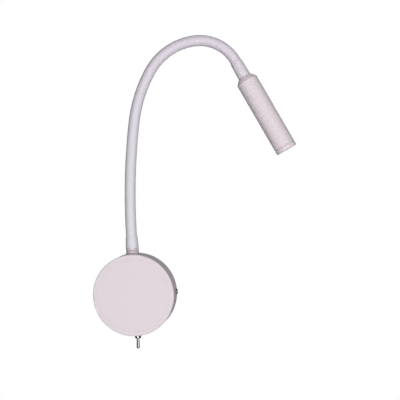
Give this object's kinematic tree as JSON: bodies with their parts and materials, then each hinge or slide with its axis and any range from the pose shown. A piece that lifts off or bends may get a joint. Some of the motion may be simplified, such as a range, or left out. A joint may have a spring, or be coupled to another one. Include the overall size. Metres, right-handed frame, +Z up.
{
  "type": "wall reading lamp",
  "caption": "Slim wall reading lamp: round base with a toggle switch below, a sleeved gooseneck arm from its top and a narrow tubular spot head with a recessed lens.",
  "frame": {"origin": "centre of the wall plate's back face, on the wall", "axes": "+X to the right, +Y into the wall, +Z up; the hose leaves the base upwards along +Z"},
  "size_m": [0.2083, 0.025, 0.3027],
  "materials": {
    "satin_white": "satin",
    "sleeve_white": "matte",
    "polished_chrome": "polished",
    "zinc_steel": "satin",
    "hose_steel": "satin",
    "nickelled_brass": "satin",
    "bright_brass": "satin",
    "black_rubber": "matte",
    "white_nylon": "matte",
    "driver_plastic": "matte",
    "grey_foam": "matte",
    "board_green": "satin",
    "winding_yellow": "gloss",
    "capacitor_sleeve": "gloss",
    "switch_red": "satin",
    "wire_brown": "matte",
    "wire_blue": "matte",
    "lead_grey": "matte",
    "bare_aluminium": "satin",
    "board_white": "satin",
    "phosphor_yellow": "satin",
    "clear_acrylic": "polished"
  },
  "bodies": {
    "base": {"base_cover": "satin_white", "side_screws": "polished_chrome", "neck_collar": "satin_white", "hose_sleeve": "sleeve_white", "switch_bushing": "polished_chrome", "wall_plate": "zinc_steel", "cable_grommet": "black_rubber", "earth_stud": "zinc_steel", "earth_washer": "zinc_steel", "earth_nut": "bright_brass", "terminal_block": "white_nylon", "terminal_screws": "zinc_steel", "driver_pad": "grey_foam", "driver_case": "driver_plastic", "driver_lid": "driver_plastic", "driver_board": "board_green", "driver_transformer": "winding_yellow", "driver_capacitor": "capacitor_sleeve", "switch_body": "switch_red", "switch_lugs": "bright_brass", "switch_nut": "zinc_steel", "switch_washer": "zinc_steel", "live_wire": "wire_brown", "switched_wire": "wire_brown", "neutral_wire": "wire_blue", "hose_root_ferrule": "nickelled_brass", "hose_root_nut": "zinc_steel", "hose_root_washer": "zinc_steel", "lamp_lead": "lead_grey"},
    "switch_lever": {"switch_lever": "polished_chrome"},
    "hose_link_01": {"hose_link_01": "hose_steel"},
    "hose_link_02": {"hose_link_02": "hose_steel"},
    "hose_link_03": {"hose_link_03": "hose_steel"},
    "hose_link_04": {"hose_link_04": "hose_steel"},
    "hose_link_05": {"hose_link_05": "hose_steel"},
    "hose_link_06": {"hose_link_06": "hose_steel"},
    "hose_link_07": {"hose_link_07": "hose_steel"},
    "hose_link_08": {"hose_link_08": "hose_steel"},
    "hose_link_09": {"hose_link_09": "hose_steel"},
    "hose_link_10": {"hose_link_10": "hose_steel"},
    "hose_link_11": {"hose_link_11": "hose_steel"},
    "hose_link_12": {"hose_link_12": "hose_steel"},
    "hose_link_13": {"hose_link_13": "hose_steel"},
    "hose_link_14": {"hose_link_14": "hose_steel"},
    "hose_link_15": {"hose_link_15": "hose_steel"},
    "hose_link_16": {"hose_link_16": "hose_steel"},
    "hose_link_17": {"hose_link_17": "hose_steel"},
    "hose_link_18": {"hose_link_18": "hose_steel"},
    "hose_link_19": {"hose_link_19": "hose_steel"},
    "hose_link_20": {"hose_link_20": "hose_steel"},
    "hose_link_21": {"hose_link_21": "hose_steel"},
    "head": {"head_ferrule": "nickelled_brass", "head_nut": "zinc_steel", "head_washer": "zinc_steel", "head_housing": "satin_white", "bezel_ring": "satin_white", "lens": "clear_acrylic", "led_board": "board_white", "led_chip": "phosphor_yellow", "heat_sink": "bare_aluminium"}
  },
  "joints": [
    {"name": "lower_bend", "type": "hinge", "parent": "base", "child": "hose_link_01", "pos_m": [0, -0.0125, 0.058], "axis": [0, 1, 0], "range_deg": [-15, 7.5], "deforming": ["hose_sleeve", "lamp_lead"]},
    {"name": "lower_sway", "type": "hinge", "parent": "hose_link_01", "child": "hose_link_02", "pos_m": [0.00015, -0.0125, 0.07184], "axis": [0.9998, 0, -0.0218], "range_deg": [0, 10], "deforming": ["hose_sleeve", "lamp_lead"]},
    {"name": "lower_bend_2", "type": "hinge", "parent": "hose_link_02", "child": "hose_link_03", "pos_m": [0.0006, -0.0125, 0.08567], "axis": [0, 1, 0], "range_deg": [-15, 7.5], "deforming": ["hose_sleeve", "lamp_lead"]},
    {"name": "lower_sway_2", "type": "hinge", "parent": "hose_link_03", "child": "hose_link_04", "pos_m": [0.00136, -0.0125, 0.09948], "axis": [0.9979, 0, -0.0654], "range_deg": [0, 10], "deforming": ["hose_sleeve", "lamp_lead"]},
    {"name": "lower_bend_3", "type": "hinge", "parent": "hose_link_04", "child": "hose_link_05", "pos_m": [0.00241, -0.0125, 0.11328], "axis": [0, 1, 0], "range_deg": [-15, 7.5], "deforming": ["hose_sleeve", "lamp_lead"]},
    {"name": "lower_sway_3", "type": "hinge", "parent": "hose_link_05", "child": "hose_link_06", "pos_m": [0.00377, -0.0125, 0.12705], "axis": [0.9941, 0, -0.1089], "range_deg": [0, 10], "deforming": ["hose_sleeve", "lamp_lead"]},
    {"name": "lower_bend_4", "type": "hinge", "parent": "hose_link_06", "child": "hose_link_07", "pos_m": [0.00543, -0.0125, 0.14079], "axis": [0, 1, 0], "range_deg": [-15, 7.5], "deforming": ["hose_sleeve", "lamp_lead"]},
    {"name": "lower_sway_4", "type": "hinge", "parent": "hose_link_07", "child": "hose_link_08", "pos_m": [0.00738, -0.0125, 0.15449], "axis": [0.9884, 0, -0.1521], "range_deg": [0, 10], "deforming": ["hose_sleeve", "lamp_lead"]},
    {"name": "upper_curl_1", "type": "hinge", "parent": "hose_link_08", "child": "hose_link_09", "pos_m": [0.00964, -0.0125, 0.16814], "axis": [0, 1, 0], "range_deg": [-6.88, 0.95], "deforming": ["hose_sleeve", "lamp_lead"]},
    {"name": "upper_sway", "type": "hinge", "parent": "hose_link_09", "child": "hose_link_10", "pos_m": [0.01257, -0.0125, 0.18105], "axis": [0.963, 0, -0.2693], "range_deg": [0, 11], "deforming": ["hose_sleeve", "lamp_lead"]},
    {"name": "upper_curl_2", "type": "hinge", "parent": "hose_link_10", "child": "hose_link_11", "pos_m": [0.01676, -0.0125, 0.19362], "axis": [0, 1, 0], "range_deg": [-11.25, 1.56], "deforming": ["hose_sleeve", "lamp_lead"]},
    {"name": "upper_sway_2", "type": "hinge", "parent": "hose_link_11", "child": "hose_link_12", "pos_m": [0.02216, -0.0125, 0.20571], "axis": [0.892, 0, -0.452], "range_deg": [0, 11], "deforming": ["hose_sleeve", "lamp_lead"]},
    {"name": "upper_curl_3", "type": "hinge", "parent": "hose_link_12", "child": "hose_link_13", "pos_m": [0.02872, -0.0125, 0.21722], "axis": [0, 1, 0], "range_deg": [-16.83, 2.33], "deforming": ["hose_sleeve", "lamp_lead"]},
    {"name": "upper_sway_3", "type": "hinge", "parent": "hose_link_13", "child": "hose_link_14", "pos_m": [0.03562, -0.0125, 0.22602], "axis": [0.723, 0, -0.6909], "range_deg": [0, 11], "deforming": ["hose_sleeve", "lamp_lead"]},
    {"name": "upper_curl_4", "type": "hinge", "parent": "hose_link_14", "child": "hose_link_15", "pos_m": [0.0441, -0.0125, 0.23331], "axis": [0, 1, 0], "range_deg": [-22.4, 3.1], "deforming": ["hose_sleeve", "lamp_lead"]},
    {"name": "upper_sway_4", "type": "hinge", "parent": "hose_link_15", "child": "hose_link_16", "pos_m": [0.05383, -0.0125, 0.23882], "axis": [0.4051, 0, -0.9143], "range_deg": [0, 11], "deforming": ["hose_sleeve", "lamp_lead"]},
    {"name": "upper_curl_5", "type": "hinge", "parent": "hose_link_16", "child": "hose_link_17", "pos_m": [0.06445, -0.0125, 0.24233], "axis": [0, 1, 0], "range_deg": [-22.4, 3.1], "deforming": ["hose_sleeve", "lamp_lead"]},
    {"name": "upper_sway_5", "type": "hinge", "parent": "hose_link_17", "child": "hose_link_18", "pos_m": [0.07554, -0.0125, 0.24371], "axis": [0.0262, 0, -0.9997], "range_deg": [0, 11], "deforming": ["hose_sleeve", "lamp_lead"]},
    {"name": "upper_curl_6", "type": "hinge", "parent": "hose_link_18", "child": "hose_link_19", "pos_m": [0.08693, -0.0125, 0.24239], "axis": [0, 1, 0], "range_deg": [-32.5, 4.5], "deforming": ["hose_sleeve", "lamp_lead"]},
    {"name": "upper_sway_6", "type": "hinge", "parent": "hose_link_19", "child": "hose_link_20", "pos_m": [0.09749, -0.0125, 0.23793], "axis": [-0.515, 0, -0.8572], "range_deg": [0, 11], "deforming": ["hose_sleeve", "lamp_lead"]},
    {"name": "upper_curl", "type": "hinge", "parent": "hose_link_20", "child": "hose_link_21", "pos_m": [0.10638, -0.0125, 0.2307], "axis": [0, 1, 0], "range_deg": [-32.5, 4.5], "deforming": ["hose_sleeve", "lamp_lead"]},
    {"name": "upper_sway_7", "type": "hinge", "parent": "hose_link_21", "child": "head", "pos_m": [0.11289, -0.0125, 0.22127], "axis": [-0.8949, 0, -0.4462], "range_deg": [0, 11], "deforming": ["hose_sleeve", "lamp_lead"]},
    {"name": "switch_toggle", "type": "hinge", "parent": "base", "child": "switch_lever", "pos_m": [0, -0.0125, -0.0401], "axis": [1, 0, 0], "range_deg": [0, 25]}
  ],
  "couplings": [
    {"joint": "lower_bend_2", "follows": "lower_bend", "ratio": 1},
    {"joint": "lower_sway_2", "follows": "lower_sway", "ratio": 1},
    {"joint": "lower_bend_3", "follows": "lower_bend", "ratio": 1},
    {"joint": "lower_sway_3", "follows": "lower_sway", "ratio": 1},
    {"joint": "lower_bend_4", "follows": "lower_bend", "ratio": 1},
    {"joint": "lower_sway_4", "follows": "lower_sway", "ratio": 1},
    {"joint": "upper_curl_1", "follows": "upper_curl", "ratio": 0.21154},
    {"joint": "upper_curl_2", "follows": "upper_curl", "ratio": 0.34615},
    {"joint": "upper_sway_2", "follows": "upper_sway", "ratio": 1},
    {"joint": "upper_curl_3", "follows": "upper_curl", "ratio": 0.51769},
    {"joint": "upper_sway_3", "follows": "upper_sway", "ratio": 1},
    {"joint": "upper_curl_4", "follows": "upper_curl", "ratio": 0.68923},
    {"joint": "upper_sway_4", "follows": "upper_sway", "ratio": 1},
    {"joint": "upper_curl_5", "follows": "upper_curl", "ratio": 0.68923},
    {"joint": "upper_sway_5", "follows": "upper_sway", "ratio": 1},
    {"joint": "upper_curl_6", "follows": "upper_curl", "ratio": 1},
    {"joint": "upper_sway_6", "follows": "upper_sway", "ratio": 1},
    {"joint": "upper_sway_7", "follows": "upper_sway", "ratio": 1}
  ]
}
